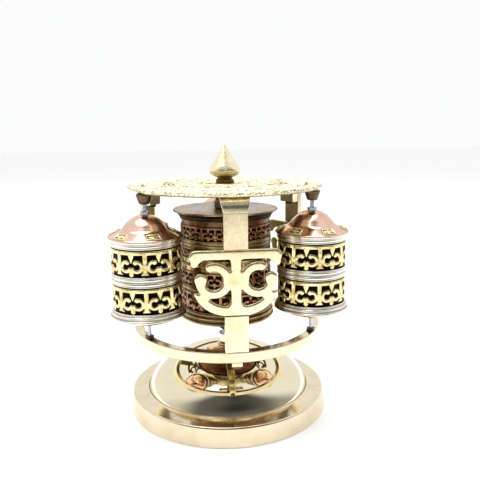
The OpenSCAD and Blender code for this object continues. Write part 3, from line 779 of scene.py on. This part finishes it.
def pearls(r, z, count, size):
    """A row of round beads in the wide moulding."""
    n, m = 7, 12
    lat = np.linspace(-math.pi / 2, math.pi / 2, n)[:, None]
    lon = np.linspace(0, TAU, m, endpoint=False)[None, :]
    ball = np.stack(np.broadcast_arrays(size * np.cos(lat) * np.cos(lon), size * np.cos(lat) * np.sin(lon),
                                        size * 1.15 * np.sin(lat)), -1).reshape(-1, 3)
    verts, faces = [], []
    for i in range(count):
        a = TAU * i / count
        verts.append(ball + (r * math.cos(a), r * math.sin(a), z))
        faces += [tuple(k + i * n * m for k in f) for f in grid_faces(n, m, True)]
    finish_mesh("centre_pearls", np.concatenate(verts), faces, "centre_wheel", ANTIQUE)


# ---------- room ----------

def camera():
    """A 42.5 mm lens, a little above the canopy and looking down at the wheels."""
    pan, tilt, roll = 0.1172, 0.1859, -0.0108
    forward = Vector((math.cos(tilt) * math.sin(pan), math.cos(tilt) * math.cos(pan), -math.sin(tilt)))
    right = Vector((math.cos(pan), -math.sin(pan), 0))
    up = right.cross(forward)
    x = math.cos(roll) * right + math.sin(roll) * up
    y = math.cos(roll) * up - math.sin(roll) * right
    data = bpy.data.cameras.new("camera")
    data.lens, data.sensor_width = 42.5, 36
    data.clip_start, data.clip_end = 0.01, 30
    cam = bpy.data.objects.new("camera", data)
    bpy.context.collection.objects.link(cam)
    m = Matrix((x, y, -forward)).transposed().to_4x4()
    m.translation = (-0.03343, -0.36360, 0.17892)
    cam.matrix_world = m
    bpy.context.scene.camera = cam


def opening():
    """The dim room seen through the front of a white light tent: a curved screen that the polished metal
    reflects and the camera doesn't see, dark in the middle and as bright as the tent at its edges."""
    n, m, radius = 44, 76, 1.25
    el = np.radians(np.linspace(-1.3, 82, n))[:, None]
    az = np.radians(np.linspace(-112, 112, m))[None, :]
    verts = np.stack(np.broadcast_arrays(radius * np.cos(el) * np.sin(az), -radius * np.cos(el) * np.cos(az),
                                         radius * np.sin(el) + 0.03), -1).reshape(-1, 3)
    e, a = np.degrees(el), np.degrees(az)
    core = np.exp(-((a - 8) / 36) ** 2) * step(e, 8, 26)
    room = 0.15 - 0.115 * core + 0.6 * (1 - step(a, -84, -44)) + 0.26 * step(a, 42, 84)
    side = step(np.abs(a) + e, 86, 114)
    top = step(e + 0.6 * np.clip(-a - 18, 0, 30), 62, 79)
    glow = room + (1 - room) * np.maximum(side, top)
    me = bpy.data.meshes.new("tent_opening")
    me.from_pydata(verts.tolist(), [], grid_faces(n, m, False))
    me.attributes.new("glow", "FLOAT", "POINT").data.foreach_set("value", np.clip(glow, 0, 1).ravel())
    mat = bpy.data.materials.new("tent_opening")
    mat.use_nodes = True
    t = mat.node_tree
    shader = t.nodes["Principled BSDF"]
    shader.inputs["Base Color"].default_value = (0, 0, 0, 1)
    shader.inputs["Specular IOR Level"].default_value = 0
    shader.inputs["Emission Color"].default_value = (0.98, 0.99, 1.0, 1)
    strength = add(t, "ShaderNodeAttribute", attribute_name="glow").outputs["Fac"]
    t.links.new(strength, shader.inputs["Emission Strength"])
    me.materials.append(mat)
    for p in me.polygons:
        p.use_smooth = True
    o = bpy.data.objects.new("tent_opening", me)
    bpy.context.collection.objects.link(o)
    o.visible_camera = False
    o.visible_shadow = False


def lamp(name, centre, look, size, power, glossy=True):
    data = bpy.data.lights.new(name, "AREA")
    data.shape, data.size, data.size_y = "RECTANGLE", size[0], size[1]
    data.energy = power
    o = bpy.data.objects.new(name, data)
    bpy.context.collection.objects.link(o)
    aim = (Vector(centre) - Vector(look)).to_track_quat("Z", "Y").to_matrix().to_4x4()
    o.matrix_world = Matrix.Translation(centre) @ aim
    o.visible_camera = False
    o.visible_glossy = glossy


def room():
    world = bpy.data.worlds.new("studio")
    world.use_nodes = True
    world.node_tree.nodes["Background"].inputs[0].default_value = (0.965, 0.97, 0.98, 1)
    world.node_tree.nodes["Background"].inputs[1].default_value = 1.0
    bpy.context.scene.world = world
    bpy.context.scene.view_settings.view_transform = "Standard"
    me = bpy.data.meshes.new("floor")
    corners = [(-6, -6, -0.0002), (6, -6, -0.0002), (6, 6, -0.0002), (-6, 6, -0.0002)]
    me.from_pydata(corners, [], [(0, 1, 2, 3)])
    mat = bpy.data.materials.new("floor_paper")
    mat.use_nodes = True
    t = mat.node_tree
    shader = t.nodes["Principled BSDF"]
    grain = noise(t, add(t, "ShaderNodeTexCoord").outputs["Object"], 0.2, 3.0)
    t.links.new(mix(t, grain, (0.9, 0.9, 0.9, 1), (0.95, 0.95, 0.95, 1)), shader.inputs["Base Color"])
    shader.inputs["Roughness"].default_value = 0.55
    shader.inputs["Emission Color"].default_value = (1, 1, 1, 1)
    shader.inputs["Emission Strength"].default_value = 0.035
    shader.inputs["Specular IOR Level"].default_value = 0.3
    me.materials.append(mat)
    floor = bpy.data.objects.new("floor", me)
    bpy.context.collection.objects.link(floor)
    opening()
    lamp("overhead", (-0.1, 0.15, 1.15), (0, 0, 0.1), (1.0, 0.8), 8)
    lamp("front_top", (0.0, -0.95, 1.1), (0, -0.8, 0), (0.9, 0.6), 8)
    lamp("left_box", (-1.1, 0.05, 0.65), (0, 0, 0.1), (0.7, 0.8), 6, glossy=False)
    lamp("right_box", (1.1, 0.1, 0.6), (0, 0, 0.1), (0.6, 0.8), 5, glossy=False)


base()
carousel()
small_wheels()
centre_wheel()
room()
camera()
